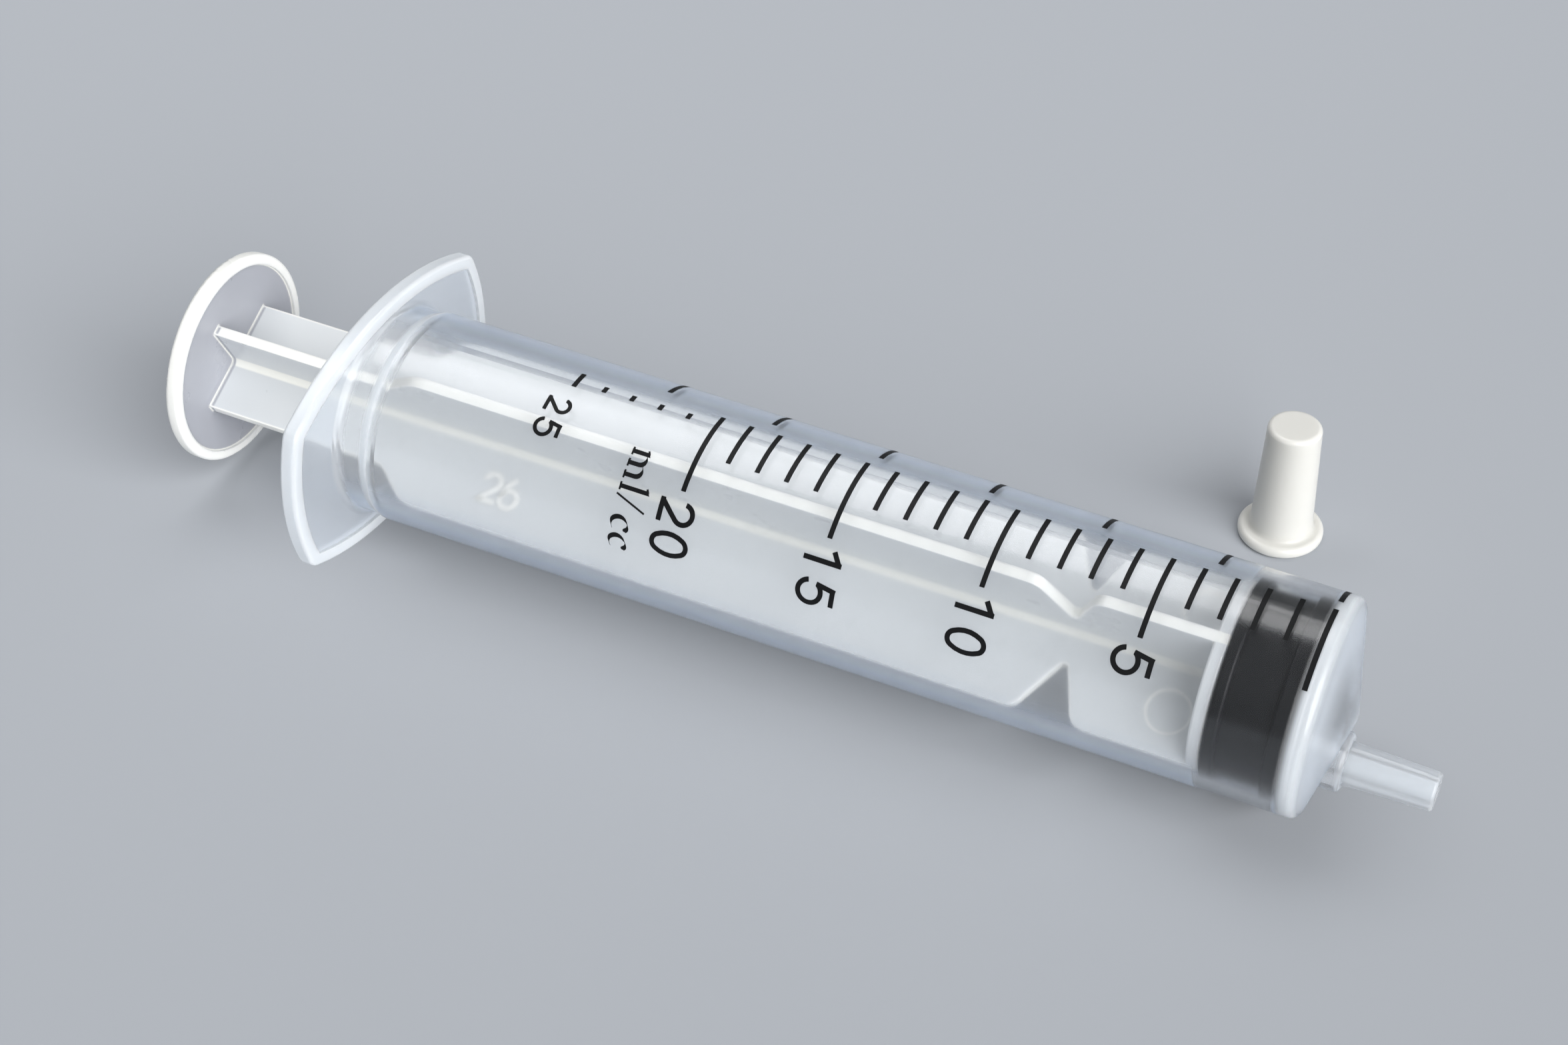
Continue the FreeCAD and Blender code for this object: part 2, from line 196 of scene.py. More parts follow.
def place_along(material):
    """The point's arm from the zero line, and its place along the axis."""
    place = add_node(material, "ShaderNodeTexCoord").outputs["Object"]
    arm = add_node(material, "ShaderNodeVectorMath", {"operation": "SUBTRACT"}, place, ZERO_LINE)
    return arm, reach_along(material, arm, AXIS)


def milky_along(material, along):
    """Share of the light that scatters in the barrel by the place along it."""
    first, last = MILKY_ALONG[0][0], MILKY_ALONG[-1][0]
    ramp = add_node(material, "ShaderNodeValToRGB", Fac=rises(material, along, first, last))
    for _ in MILKY_ALONG[2:]:
        ramp.color_ramp.elements.new(0.5)
    for stop, (place, share) in zip(ramp.color_ramp.elements, MILKY_ALONG):
        stop.position = (place - first) / (last - first)
        stop.color = (share, share, share, 1)
    return ramp


def milky_rim(material, arm, along):
    """Share that scatters in the flange's rim, which follows the four arcs of its outline."""
    aside, above = [
        add_node(material, "ShaderNodeMath", {"operation": "ABSOLUTE"}, reach_along(material, arm, way))
        for way in (ASIDE, ABOVE)
    ]
    below_centre = add_node(
        material, "ShaderNodeMath", {"operation": "ADD"}, above, FLANGE_SIDE_CENTRE * MILLIMETRE,
    )
    beyond_centre = add_node(
        material, "ShaderNodeMath", {"operation": "ADD"}, aside, FLANGE_END_CENTRE * MILLIMETRE,
    )
    in_rim = []
    for from_centre, radius in (
        (diagonal(material, aside, below_centre), FLANGE_SIDE_RADIUS),
        (diagonal(material, beyond_centre, above), FLANGE_END_RADIUS),
    ):
        foot = radius - RIM_DEPTH
        in_rim.append(rises(material, from_centre, foot - RIM_FADE, foot + RIM_FADE))
    in_rim = add_node(material, "ShaderNodeMath", {"operation": "MAXIMUM"}, *in_rim)
    in_flange = rises(material, along, FLANGE_FRONT + RIM_FADE, FLANGE_FRONT)
    in_both = add_node(material, "ShaderNodeMath", {"operation": "MULTIPLY"}, in_rim, in_flange)
    return add_node(material, "ShaderNodeMath", {"operation": "MULTIPLY"}, in_both, RIM_MILKY)


def haze_where_looked_along(material, along):
    """Share that scatters where the wall is looked along, less at the stopper and on the closed end."""
    slant = add_node(material, "ShaderNodeLayerWeight", Blend=0.5)
    haze = add_node(
        material, "ShaderNodeMapRange",
        Value=slant.outputs["Facing"], From_Min=HAZE_START, From_Max=1.0, To_Min=0.0, To_Max=HAZE,
    )
    wet = add_node(
        material, "ShaderNodeMath", {"operation": "MINIMUM"},
        rises(material, along, WET_START, WET_START + HAZE_FADE),
        rises(material, along, WET_END, WET_END - HAZE_FADE),
    )
    closed = add_node(
        material, "ShaderNodeMath", {"operation": "MINIMUM"},
        rises(material, along, CLOSED_START, CLOSED_START + HAZE_FADE),
        rises(material, along, CLOSED_END, CLOSED_END - CLOSED_FADE),
    )
    closed = add_node(material, "ShaderNodeMath", {"operation": "MULTIPLY"}, closed, CLOSED_CALM)
    calm = add_node(material, "ShaderNodeMath", {"operation": "MAXIMUM"}, wet, closed)
    left = add_node(material, "ShaderNodeMapRange", Value=calm, To_Min=1.0, To_Max=WET_HAZE)
    return add_node(material, "ShaderNodeMath", {"operation": "MULTIPLY"}, haze, left)


def turning_to(material, share, colour, other):
    """Colour that turns to another one as a share goes from 0 to 1."""
    mixed = add_node(material, "ShaderNodeMix", {"data_type": "RGBA", "clamp_factor": True}, Factor=share)
    feed(material, mixed.inputs[6], colour)
    feed(material, mixed.inputs[7], other)
    return mixed.outputs[2]


clear_plastic = new_material("Clear polypropylene, moulded")
arm, along = place_along(clear_plastic)
milky = add_node(
    clear_plastic, "ShaderNodeMath", {"operation": "MAXIMUM"},
    milky_along(clear_plastic, along), milky_rim(clear_plastic, arm, along),
)
haze = haze_where_looked_along(clear_plastic, along)
clear_colour = linear(CLEAR_COLOUR)
for share, milky_colour in ((haze, HAZE_COLOUR), (milky, MILKY_COLOUR)):
    sooner = add_node(clear_plastic, "ShaderNodeMath", {"operation": "MULTIPLY"}, share, MILKY_SOONER)
    clear_colour = turning_to(clear_plastic, sooner, clear_colour, linear(milky_colour))
scattered = add_node(clear_plastic, "ShaderNodeMath", {"operation": "MAXIMUM"}, milky, haze)
clear_shader = add_node(
    clear_plastic, "ShaderNodeBsdfPrincipled",
    Base_Color=clear_colour, Roughness=patches(clear_plastic, CLEAR_PATCH, CLEAR_SMOOTH, CLEAR_DULL),
    IOR=POLYPROPYLENE_IOR,
    Transmission_Weight=add_node(clear_plastic, "ShaderNodeMath", {"operation": "SUBTRACT"}, 1.0, scattered),
    Subsurface_Weight=1.0, Subsurface_Radius=(1.0, 1.0, 1.0), Subsurface_Scale=MILKY_SPREAD * MILLIMETRE,
    Normal=ripples(clear_plastic, RIPPLE_LENGTH, RIPPLE_HEIGHT),
)
dress("barrel", finish_material(clear_plastic, lets_light_in(clear_plastic, clear_shader)))

# Stopper: black rubber, moulded, with a sealing rib at each end. A film of silicone oil makes it
# slide and gives it a soft shine.
RUBBER_COLOUR = "#06070A"
RUBBER_SMOOTH = 0.35
RUBBER_DULL = 0.5
RUBBER_PATCH = 3.0
RUBBER_GLOSS = 0.2
RUBBER_GRAIN_LENGTH = 1.0
RUBBER_GRAIN_HEIGHT = 0.01

rubber = new_material("Black rubber with silicone oil")
rubber_shader = add_node(
    rubber, "ShaderNodeBsdfPrincipled",
    Base_Color=linear(RUBBER_COLOUR), Roughness=patches(rubber, RUBBER_PATCH, RUBBER_SMOOTH, RUBBER_DULL),
    Specular_IOR_Level=RUBBER_GLOSS, Normal=ripples(rubber, RUBBER_GRAIN_LENGTH, RUBBER_GRAIN_HEIGHT),
)
dress("stopper", finish_material(rubber, rubber_shader))

# Plunger rod: one moulding of natural polypropylene, a stiffer grade than the barrel's and cloudier.
# Light spreads inside its thin webs and leaves at their edges. That light is painted on, as a whiter
# colour on the webs' edges and roots, the press's rim, a ring round a pin's mark and all sharp edges.
NATURAL_COLOUR = "#D4D7D9"
# Painted edge light: the whiter colour where light that has spread inside the plastic leaves it.
NATURAL_EDGE_LIGHT_COLOUR = "#F9F8F1"
PRESS_COLOUR = "#ACAEB5"         # the thin press looks bluer than the rod
NATURAL_SMOOTH = 0.26
NATURAL_DULL = 0.32
NATURAL_PATCH = 6.0
NATURAL_RIPPLE_LENGTH = 3.0
NATURAL_RIPPLE_HEIGHT = 0.015
PRESS_FRONT = -121.5
PRESS_FADE = 0.2
SPREAD = 0.8                     # millimetres that light spreads inside the plastic
WEB_TURN = 27.0                  # degrees round from upright to the first web
WEB_HALF = 0.55                  # from the middle of a web to its face
EDGE_FADE = (0.97, 0.87)         # shares of that, between which the narrow faces start
ROOT_HALF = 1.3                  # from the axis to the end of the round between the webs
ROOT_FADE = 0.85                 # share of that, where the root has its full painted light
WEB_LIGHT_SHARE = 0.75                 # of the painted edge light on the webs' narrow faces and roots
RIM_START = 10.6                 # from the axis to the rim of the thumb press, where edge light is painted
OUTLINE = 0.5                    # how near a sharp edge the plastic is painted lighter, as edge light
OUTLINE_FADE = (0.985, 0.92)     # cosines of the slants between which the painted light on rounded edges comes in
MARK_PLACE = (-12.65, 5.4)       # middle of an ejector pin's mark, along the axis and away from it
MARK_RADIUS = 2.2
MARK_EDGE = 0.2
MARK_FADE = 0.1
MARK_LIGHT_SHARE = 0.7                 # of the painted edge light, on a ring round the mark's edge


def way_round(degrees):
    """Direction away from the syringe's axis, from the angle round it, counted from its top."""
    return ABOVE * math.cos(math.radians(degrees)) + ASIDE * math.sin(math.radians(degrees))


def painted_light_on_webs(material, arm, along, to_middles, from_mark):
    """Share of the painted edge light on the webs' narrow faces and roots, outside the marks and the press.
    """
    least = add_node(material, "ShaderNodeMath", {"operation": "MINIMUM"}, *to_middles)
    most = add_node(material, "ShaderNodeMath", {"operation": "MAXIMUM"}, *to_middles)
    edge = add_node(
        material, "ShaderNodeMath", {"operation": "MINIMUM"},
        rises(material, from_mark, MARK_RADIUS, MARK_RADIUS + MARK_FADE),
        rises(material, least, *[WEB_HALF * share for share in EDGE_FADE]),
    )
    root = rises(material, most, ROOT_HALF, ROOT_HALF * ROOT_FADE)
    webs = add_node(material, "ShaderNodeMath", {"operation": "MAXIMUM"}, edge, root)
    webs = add_node(material, "ShaderNodeMath", {"operation": "MULTIPLY"}, webs, WEB_LIGHT_SHARE)
    before_press = rises(material, along, PRESS_FRONT, PRESS_FRONT + PRESS_FADE)
    return add_node(material, "ShaderNodeMath", {"operation": "MULTIPLY"}, webs, before_press)


def painted_light_on_outline(material):
    """Share of the painted edge light near any sharp edge, where a rounded normal leaves the face's own."""
    rounded = add_node(material, "ShaderNodeBevel", {"samples": 8}, Radius=OUTLINE * MILLIMETRE)
    true = add_node(material, "ShaderNodeNewGeometry").outputs["True Normal"]
    return add_node(
        material, "ShaderNodeMapRange",
        Value=reach_along(material, rounded, true), From_Min=OUTLINE_FADE[0], From_Max=OUTLINE_FADE[1],
        To_Min=0.0, To_Max=1.0,
    )


def painted_edge_light(material, arm, along):
    """Share of the painted edge light: on the webs, the press's rim, the marks' edges and all sharp edges."""
    to_middles = [
        add_node(material, "ShaderNodeMath", {"operation": "ABSOLUTE"}, reach_along(material, arm, way))
        for way in (way_round(WEB_TURN), way_round(WEB_TURN + 90))
    ]
    cross = add_node(material, "ShaderNodeVectorMath", {"operation": "CROSS_PRODUCT"}, arm, AXIS)
    reach = add_node(material, "ShaderNodeVectorMath", {"operation": "LENGTH"}, cross).outputs["Value"]
    from_mark = diagonal(material, *[
        add_node(material, "ShaderNodeMath", {"operation": "SUBTRACT"}, place, middle * MILLIMETRE)
        for place, middle in zip((along, to_middles[1]), MARK_PLACE)
    ])
    past_edge = add_node(
        material, "ShaderNodeMath", {"operation": "SUBTRACT"}, from_mark, MARK_RADIUS * MILLIMETRE,
    )
    from_edge = add_node(material, "ShaderNodeMath", {"operation": "ABSOLUTE"}, past_edge)
    # Ring of painted edge light round the ejector pin's mark.
    mark = add_node(
        material, "ShaderNodeMath", {"operation": "MULTIPLY"},
        rises(material, from_edge, MARK_EDGE, 0.0), MARK_LIGHT_SHARE,
    )
    # Painted edge light on the press's rim.
    rim = rises(material, reach, RIM_START - RIM_FADE, RIM_START + RIM_FADE)
    share = painted_light_on_webs(material, arm, along, to_middles, from_mark)
    for other in (rim, mark, painted_light_on_outline(material)):
        share = add_node(material, "ShaderNodeMath", {"operation": "MAXIMUM"}, share, other)
    return share


natural_plastic = new_material("Natural polypropylene, moulded, with painted edge light")
arm, along = place_along(natural_plastic)
in_press = rises(natural_plastic, along, PRESS_FRONT + PRESS_FADE, PRESS_FRONT)
natural_colour = turning_to(natural_plastic, in_press, linear(NATURAL_COLOUR), linear(PRESS_COLOUR))
# Painted light: a whiter colour where light leaves the webs, at their edges, roots, rim and mark.
edges = painted_edge_light(natural_plastic, arm, along)
natural_colour = turning_to(natural_plastic, edges, natural_colour, linear(NATURAL_EDGE_LIGHT_COLOUR))
natural_shader = add_node(
    natural_plastic, "ShaderNodeBsdfPrincipled",
    Base_Color=natural_colour,
    Roughness=patches(natural_plastic, NATURAL_PATCH, NATURAL_SMOOTH, NATURAL_DULL),
    IOR=POLYPROPYLENE_IOR, Subsurface_Weight=1.0, Subsurface_Radius=(1.0, 1.0, 1.0),
    Subsurface_Scale=SPREAD * MILLIMETRE,
    Normal=ripples(natural_plastic, NATURAL_RIPPLE_LENGTH, NATURAL_RIPPLE_HEIGHT),
)
dress("plunger_rod", finish_material(natural_plastic, natural_shader))

# Tip cap: a small cap of natural polypropylene, moulded round a solid core. Its wall is thick, so it
# looks whiter than the rod.
CAP_COLOUR = "#E0DFDA"
CAP_ROUGHNESS = 0.3
CAP_RIPPLE_LENGTH = 2.0
CAP_RIPPLE_HEIGHT = 0.01

cap_plastic = new_material("Natural polypropylene, thick")
cap_shader = add_node(
    cap_plastic, "ShaderNodeBsdfPrincipled",
    Base_Color=linear(CAP_COLOUR), Roughness=CAP_ROUGHNESS, IOR=POLYPROPYLENE_IOR,
    Subsurface_Weight=1.0, Subsurface_Radius=(1.0, 1.0, 1.0), Subsurface_Scale=SPREAD * MILLIMETRE,
    Normal=ripples(cap_plastic, CAP_RIPPLE_LENGTH, CAP_RIPPLE_HEIGHT),
)
dress("tip_cap", finish_material(cap_plastic, cap_shader))

# Scale: black ink, screen printed round the barrel, with the millilitres on the near side and the
# fluid ounces over the top. It is drawn flat, as on the screen, in millimetres, x round the barrel
# from its highest line and y along it from the zero line. Then it is rolled on.
FRONT_RADIUS = 11.101            # outside of the barrel at the zero line
BARREL_TAPER = 0.22              # degrees, wider towards the flange
LINE_WIDTH = 0.52
MILLILITRE = 3.1673              # length of the bore that holds 1 ml
NUMBERED = 5                     # millilitres from one numbered line to the next
NOMINAL = 20                     # millilitres that the syringe is sold for
FULL = 25                        # millilitres to the last line
EIGHTH_OUNCE = 3.6967            # millilitres
EIGHTHS = 6
SCALE_START = -7.8               # degrees round from the top
SHORT_LINE_END = 20.7
LONG_LINE_END = 41.5
LAST_LINE_END = 4.0
DOT_START = -2.8
DOT_END = 1.6
OUNCE_START = -16.0
OUNCE_END = -38.7
DIGIT_HEIGHT = 4.0
DIGIT_LINE = 0.52
DIGIT_STEP = 3.25
DIGIT_START = 46.6               # degrees
SMALL_DIGIT_HEIGHT = 2.9
SMALL_DIGIT_LINE = 0.41
SMALL_DIGIT_STEP = 2.6
SMALL_DIGIT_START = 13.6
SMALL_DIGIT_DROP = 0.25          # towards the flange from the middle of their line
UNIT_START = 27.2
UNIT_LEVEL = -69.95              # foot of the unit's letters, from the zero line
L_START = 4.14                   # letters of the unit, from its start
L_HEIGHT = 3.25
SLASH_FOOT = (4.95, -0.05)
SLASH_TOP = (6.2, 3.3)
C_STARTS = (7.15, 9.15)
FOOT_HALF = 0.42                 # half of the hair line under a stem
NIB = 25.0                       # degrees that the broad pen of the unit's letters is held at
NIB_WIDTH = 0.5
HAIR_LINE = 0.2
INK_HEIGHT = 0.015
INK_DEPTH = 0.045                # below the surface, so that the facets of the barrel stay inside
INK_COLOUR = "#0B0C0E"
INK_SMOOTH = 0.45
INK_DULL = 0.6
INK_PATCH = 1.0
INK_GLOSS = 0.25
PEN_STEP = 0.4                   # longest face of a straight stroke
PEN_TURN = 12.0                  # degrees in each face of an arc
SAME_PLACE = 0.001               # nearer than this, two points of a stroke are one


def pen_stroke(sheet, start, heading, moves, width, nib=None):
    """Draws one stroke on the flat sheet. A move is a length, or a radius and the degrees of an arc,
    positive to the left. A nib in degrees keeps its own direction, as a broad pen does."""
    across = math.radians(heading + 90 if nib is None else nib)
    half = Vector((math.cos(across), math.sin(across), 0)) * width / 2
    place = Vector((start[0], start[1], 0))
    ends = [sheet.verts.new(place + half), sheet.verts.new(place - half)]
    edge = sheet.edges.new(ends)
    for move in moves:
        if isinstance(move, tuple):
            radius, turn = move
            count = max(1, round(abs(turn) / PEN_TURN))
        else:
            turn = 0
            count = max(1, math.ceil(move / PEN_STEP))
        for _ in range(count):
            made = bmesh.ops.extrude_edge_only(sheet, edges=[edge])["geom"]
            edge = next(part for part in made if isinstance(part, bmesh.types.BMEdge))
            if turn:
                side = math.radians(heading + math.copysign(90, turn))
                centre = place + Vector((math.cos(side), math.sin(side), 0)) * radius
                turn_by = Matrix.Rotation(math.radians(turn / count), 4, "Z")
                moved = centre + turn_by @ (place - centre)
            else:
                way = math.radians(heading)
                moved = place + Vector((math.cos(way), math.sin(way), 0)) * move / count
            if turn and nib is None:
                bmesh.ops.rotate(sheet, verts=edge.verts, cent=centre, matrix=turn_by.to_3x3())
            else:
                bmesh.ops.translate(sheet, verts=edge.verts, vec=moved - place)
            place = moved
            heading += turn / count


def straight(sheet, start, end, width, nib=None):
    """Draws a straight stroke between two points."""
    run = Vector(end) - Vector(start)
    pen_stroke(sheet, start, math.degrees(math.atan2(run.y, run.x)), [run.length], width, nib)


def thicken(sheet, depth):
    """Gives the strokes on a flat sheet their depth, downwards. Where a broad pen's stroke turns over, it
    is parted first, so that all faces look outwards."""
    bmesh.ops.remove_doubles(sheet, verts=sheet.verts[:], dist=SAME_PLACE)
    sheet.normal_update()
    turned_over = [
        edge for edge in sheet.edges
        if len(edge.link_faces) == 2 and edge.link_faces[0].normal.z * edge.link_faces[1].normal.z < 0
    ]
    bmesh.ops.split_edges(sheet, edges=turned_over)
    bmesh.ops.reverse_faces(sheet, faces=[face for face in sheet.faces if face.normal.z < 0])
    sheet.normal_update()
    bmesh.ops.solidify(sheet, geom=sheet.faces[:], thickness=depth)
    bmesh.ops.recalc_face_normals(sheet, faces=sheet.faces[:])


def draw_0(sheet, x, y, size, width):
    """Oval of four arcs, started at its top. As in the other digits, sizes are shares of the height."""
    end, side, turn = 0.213 * size, 0.715 * size, 59.7
    pen_stroke(sheet, (x + 0.333 * size, y + size - width / 2), 180, [
        (end, turn), (side, 2 * (90 - turn)), (end, 2 * turn), (side, 2 * (90 - turn)), (end, turn),
    ], width)


def draw_1(sheet, x, y, size, width):
    """Stem with a short flag."""
    straight(sheet, (x + 0.325 * size, y), (x + 0.325 * size, y + size), width)
    straight(sheet, (x + 0.025 * size, y + 0.737 * size), (x + 0.325 * size, y + 0.937 * size), width)


def draw_2(sheet, x, y, size, width):
    """Open bowl that runs out into a diagonal, on a straight foot."""
    pen_stroke(sheet, (x + 0.05 * size, y + 0.7 * size), 85, [(0.255 * size, -219), 0.63 * size], width)
    straight(sheet, (x, y + width / 2), (x + 0.613 * size, y + width / 2), width)


def draw_5(sheet, x, y, size, width):
    """Flat top, a stroke down its left and a round bowl."""
    top = y + size - width / 2
    straight(sheet, (x + 0.6 * size, top), (x + 0.155 * size, top), width)
    straight(sheet, (x + 0.188 * size, y + size), (x + 0.1 * size, y + 0.487 * size), width)
    pen_stroke(sheet, (x + 0.105 * size, y + 0.522 * size), 51, [(0.3 * size, -309)], width)


def draw_foot(sheet, x, y):
    """Hair line under a stem."""
    level = y + HAIR_LINE / 2
    straight(sheet, (x - FOOT_HALF, level), (x + FOOT_HALF, level), HAIR_LINE)


def draw_stem(sheet, x, y, height):
    """Stem of a broad pen, with a flag at its top and a foot."""
    straight(sheet, (x, y + 0.05), (x, y + height), NIB_WIDTH, NIB)
    straight(sheet, (x - FOOT_HALF, y + height - 0.28), (x, y + height - 0.05), HAIR_LINE)
    draw_foot(sheet, x, y)


def draw_m(sheet, x, y):
    """Stem and two arches."""
    draw_stem(sheet, x + FOOT_HALF, y, 1.98)
    for stem in (x + FOOT_HALF, x + FOOT_HALF + 1.24):
        pen_stroke(sheet, (stem, y + 1.62), 50, [(0.7, -140), 1.12], NIB_WIDTH, NIB)
        draw_foot(sheet, stem + 1.24, y)


def draw_c(sheet, x, y):
    """Open bowl with a round end at its top."""
    pen_stroke(sheet, (x + 1.33, y + 1.6), 112, [(0.45, 85), (1.05, 115), (0.64, 90)], NIB_WIDTH, NIB)
    bmesh.ops.create_circle(
        sheet, cap_ends=True, segments=16, radius=0.19, matrix=Matrix.Translation((x + 1.29, y + 1.56, 0)),
    )


def radius_at(y):
    """Outside radius of the barrel, y along it from the zero line."""
    return FRONT_RADIUS - y * math.tan(math.radians(BARREL_TAPER))


def round_at(degrees, y):
    """Distance round the barrel of an angle from its highest line."""
    return math.radians(degrees) * radius_at(y)


def draw_line(sheet, volume, start, end):
    """Line of the scale at a volume, between two angles round the barrel."""
    y = -volume * MILLILITRE
    straight(sheet, (round_at(start, y), y), (round_at(end, y), y), LINE_WIDTH)


def new_piece(name, shape):
    """Object with the mesh of a finished shape."""
    mesh = bpy.data.meshes.new(name)
    shape.to_mesh(mesh)
    shape.free()
    piece = bpy.data.objects.new(name, mesh)
    bpy.context.collection.objects.link(piece)
    return piece


scale = bmesh.new()
for volume in range(FULL + 1):
    start, end = SCALE_START, SHORT_LINE_END
    if volume == FULL:
        end = LAST_LINE_END
    elif volume > NOMINAL:
        start, end = DOT_START, DOT_END
    elif volume % NUMBERED == 0:
        end = LONG_LINE_END
    draw_line(scale, volume, start, end)
for eighth in range(EIGHTHS + 1):
    draw_line(scale, eighth * EIGHTH_OUNCE, OUNCE_START, OUNCE_END)

for count, digits in enumerate(([draw_5], [draw_1, draw_0], [draw_1, draw_5], [draw_2, draw_0]), 1):
    y = -count * NUMBERED * MILLILITRE - DIGIT_HEIGHT / 2
    x = round_at(DIGIT_START, y)
    for draw_digit in digits:
        draw_digit(scale, x, y, DIGIT_HEIGHT, DIGIT_LINE)
        x += DIGIT_STEP
y = -FULL * MILLILITRE - SMALL_DIGIT_HEIGHT / 2 - SMALL_DIGIT_DROP
x = round_at(SMALL_DIGIT_START, y)
draw_2(scale, x, y, SMALL_DIGIT_HEIGHT, SMALL_DIGIT_LINE)
draw_5(scale, x + SMALL_DIGIT_STEP, y, SMALL_DIGIT_HEIGHT, SMALL_DIGIT_LINE)
x = round_at(UNIT_START, UNIT_LEVEL)
unit_place = Vector((x, UNIT_LEVEL))
draw_m(scale, x, UNIT_LEVEL)
draw_stem(scale, x + L_START, UNIT_LEVEL, L_HEIGHT)
straight(scale, unit_place + Vector(SLASH_FOOT), unit_place + Vector(SLASH_TOP), HAIR_LINE)
for start in C_STARTS:
    draw_c(scale, x + start, UNIT_LEVEL)

thicken(scale, INK_HEIGHT + INK_DEPTH)
for vertex in scale.verts:
    outside = radius_at(vertex.co.y)
    turn = vertex.co.x / outside
    level = INK_HEIGHT if abs(vertex.co.z) < SAME_PLACE else -INK_DEPTH
    radius = (outside + level) * MILLIMETRE
    along = vertex.co.y * MILLIMETRE
    vertex.co = ZERO_LINE + AXIS * along + radius * way_round(math.degrees(turn))
scale_print = new_piece("scale_print", scale)

ink = new_material("Black printing ink")
ink_shader = add_node(
    ink, "ShaderNodeBsdfPrincipled",
    Base_Color=linear(INK_COLOUR), Roughness=patches(ink, INK_PATCH, INK_SMOOTH, INK_DULL),
    Specular_IOR_Level=INK_GLOSS,
)
scale_print.data.materials.append(finish_material(ink, ink_shader))
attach(scale_print, "barrel")

# Cavity number: two digits that stand out from a web's face, engraved in the mould to tell its
# cavities apart. They read towards the tip, with their tops towards the axis.
NUMBER_START = -88.2             # along the axis, from the zero line
NUMBER_FOOT = 7.0                # out from the axis
NUMBER_HEIGHT = 3.5
NUMBER_LINE = 0.55
NUMBER_STEP = 2.35
NUMBER_RAISED = 0.08
NUMBER_ROOT = 0.05               # how far the digits reach into the web
# Painted highlight: natural plastic, painted lighter than the web for the light that the raised digits catch.
NUMBER_LIT_COLOUR = "#EEEEEA"


def draw_6(sheet, x, y, size, width):
    """Round bowl with a stem that curves up from its left."""
    pen_stroke(sheet, (x + 0.32 * size, y + 0.03 * size), 0, [(0.27 * size, 360)], width)
    pen_stroke(sheet, (x + 0.05 * size, y + 0.3 * size), 90, [(0.85 * size, -50)], width)


number = bmesh.new()
draw_2(number, 0, 0, NUMBER_HEIGHT, NUMBER_LINE)
draw_6(number, NUMBER_STEP, 0, NUMBER_HEIGHT, NUMBER_LINE)
thicken(number, NUMBER_RAISED + NUMBER_ROOT)
outward = way_round(WEB_TURN + 90)
facing = way_round(WEB_TURN)
for vertex in number.verts:
    level = WEB_HALF + (NUMBER_RAISED if abs(vertex.co.z) < SAME_PLACE else -NUMBER_ROOT)
    vertex.co = ZERO_LINE + MILLIMETRE * (
        AXIS * (NUMBER_START + vertex.co.x) + outward * (NUMBER_FOOT - vertex.co.y) + facing * level
    )
cavity_number = new_piece("cavity_number", number)

raised_plastic = new_material("Natural polypropylene, raised, painted lighter")
raised_shader = add_node(
    raised_plastic, "ShaderNodeBsdfPrincipled",
    Base_Color=linear(NUMBER_LIT_COLOUR),
    Roughness=patches(raised_plastic, NATURAL_PATCH, NATURAL_SMOOTH, NATURAL_DULL), IOR=POLYPROPYLENE_IOR,
)
cavity_number.data.materials.append(finish_material(raised_plastic, raised_shader))
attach(cavity_number, "plunger_rod")

# Floor: a plain pale sheet of matt paper under the syringe, large enough to fill the views from the
# side.
FLOOR_SIZE = 20.0
FLOOR_COLOUR = "#B0B4BA"
FLOOR_ROUGHNESS = 0.8
FLOOR_GLOSS = 0.2

sheet = bmesh.new()
bmesh.ops.create_grid(sheet, x_segments=1, y_segments=1, size=FLOOR_SIZE / 2)
floor = new_piece("floor", sheet)
floor_paper = new_material("Matt paper")
floor_shader = add_node(
    floor_paper, "ShaderNodeBsdfPrincipled",
    Base_Color=linear(FLOOR_COLOUR), Roughness=FLOOR_ROUGHNESS, Specular_IOR_Level=FLOOR_GLOSS,
)
floor.data.materials.append(finish_material(floor_paper, floor_shader))

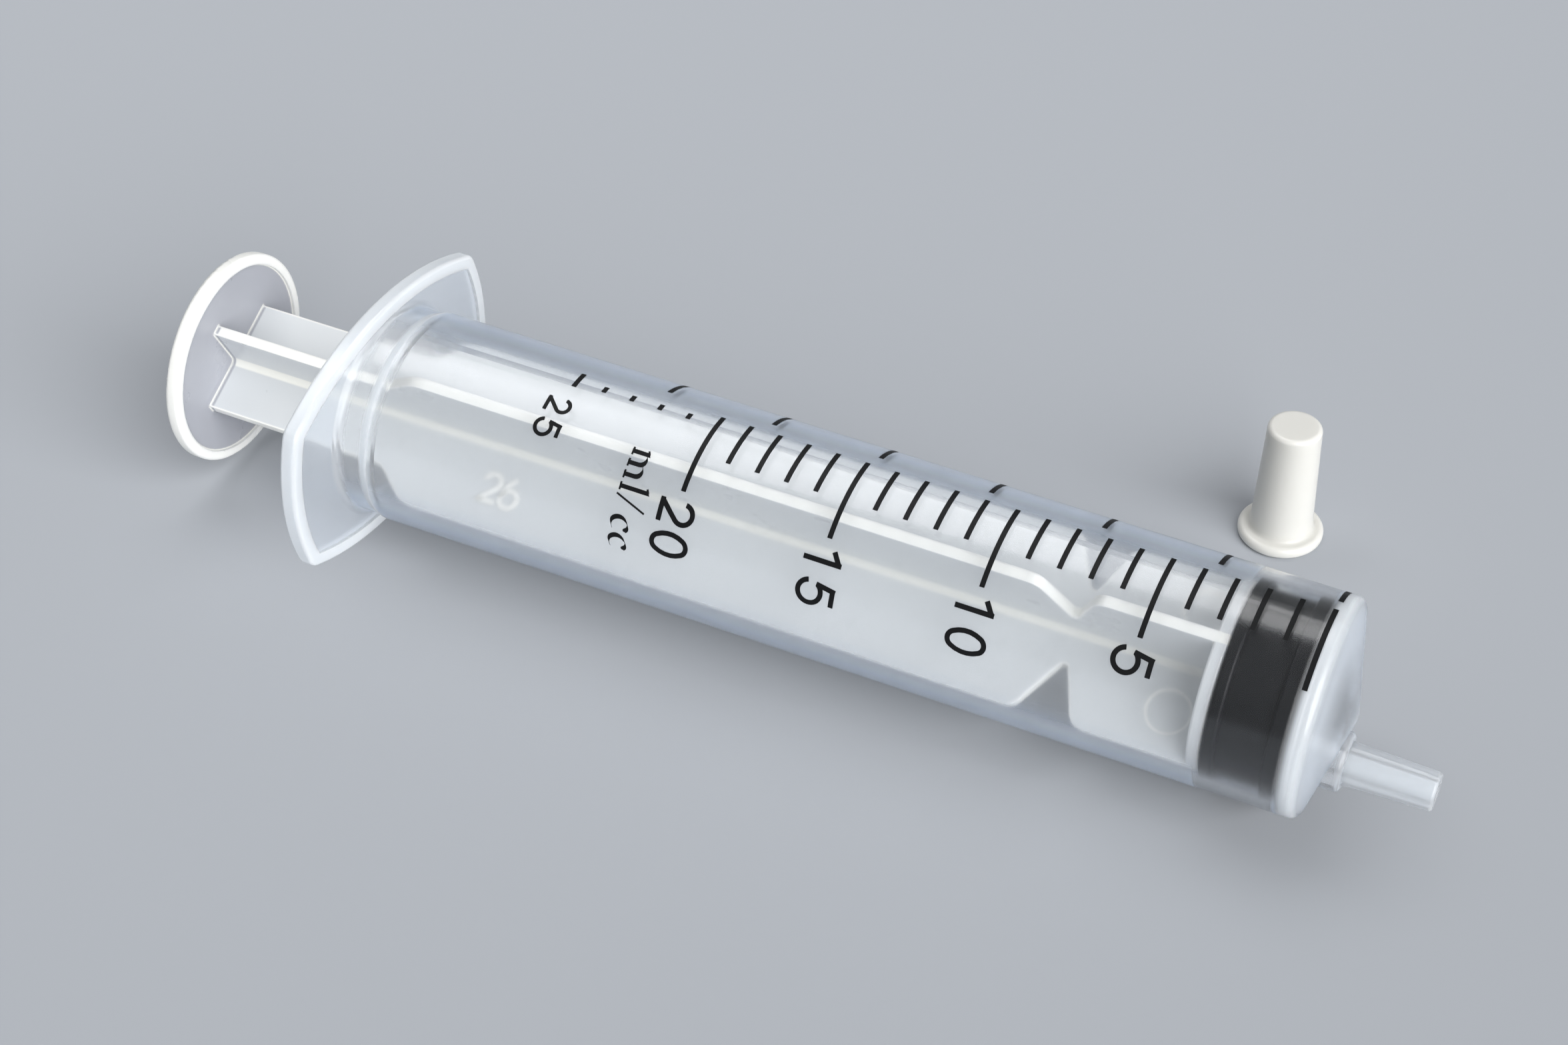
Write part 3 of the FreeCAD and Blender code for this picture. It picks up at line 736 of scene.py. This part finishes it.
# Light: a soft box over the barrel and a little behind it, broad light from the front right, far
# enough off to be the same all over the floor, and an even room.
KEY_POWER = 1.15
KEY_SIZE = (0.5, 0.28)
KEY_PLACE = Vector((-0.17, 0.16, 0.52))
FILL_STRENGTH = 3.9
FILL_WIDTH = 62.0                # degrees that it takes up, seen from the floor
FILL_SIDE = Vector((1.0, -0.65, 0.68))
ROOM_COLOUR = "#E2E6EB"
ROOM_STRENGTH = 0.2


def lamp(name, kind, place, energy):
    """Lamp that faces the origin. A rectangular one has its long side level."""
    data = bpy.data.lights.new(name, kind)
    data.energy = energy
    piece = bpy.data.objects.new(name, data)
    piece.location = place
    piece.rotation_euler = place.to_track_quat("Z", "Y").to_euler()
    bpy.context.collection.objects.link(piece)
    return data


key = lamp("key", "AREA", KEY_PLACE, KEY_POWER)
key.shape = "RECTANGLE"
key.size, key.size_y = KEY_SIZE
fill = lamp("fill", "SUN", FILL_SIDE, FILL_STRENGTH)
fill.angle = math.radians(FILL_WIDTH)
room = bpy.data.worlds.new("room")
room.use_nodes = True
room.node_tree.nodes["Background"].inputs["Color"].default_value = linear(ROOM_COLOUR)
room.node_tree.nodes["Background"].inputs["Strength"].default_value = ROOM_STRENGTH
bpy.context.scene.world = room

# Camera: it stands where the photograph was taken from, above the near side and towards the nozzle,
# and its lens takes in the whole syringe with its cap.
CAMERA_PLACE = Vector((0.0883882, -0.1956286, 0.1904664))
CAMERA_AZIMUTH = 25.656
CAMERA_ELEVATION = 40.72
CAMERA_ROLL = -0.460
SENSOR_WIDTH = 36.0
FOCAL_LENGTH = 61.5

camera_data = bpy.data.cameras.new("camera")
camera_data.sensor_width = SENSOR_WIDTH
camera_data.lens = FOCAL_LENGTH
camera_data.clip_start = 0.01
camera = bpy.data.objects.new("camera", camera_data)
camera.matrix_world = (
    Matrix.Translation(CAMERA_PLACE)
    @ Matrix.Rotation(math.radians(CAMERA_AZIMUTH), 4, "Z")
    @ Matrix.Rotation(math.radians(90 - CAMERA_ELEVATION), 4, "X")
    @ Matrix.Rotation(math.radians(CAMERA_ROLL), 4, "Z")
)
bpy.context.collection.objects.link(camera)
bpy.context.scene.camera = camera
bpy.context.scene.view_settings.view_transform = "Standard"
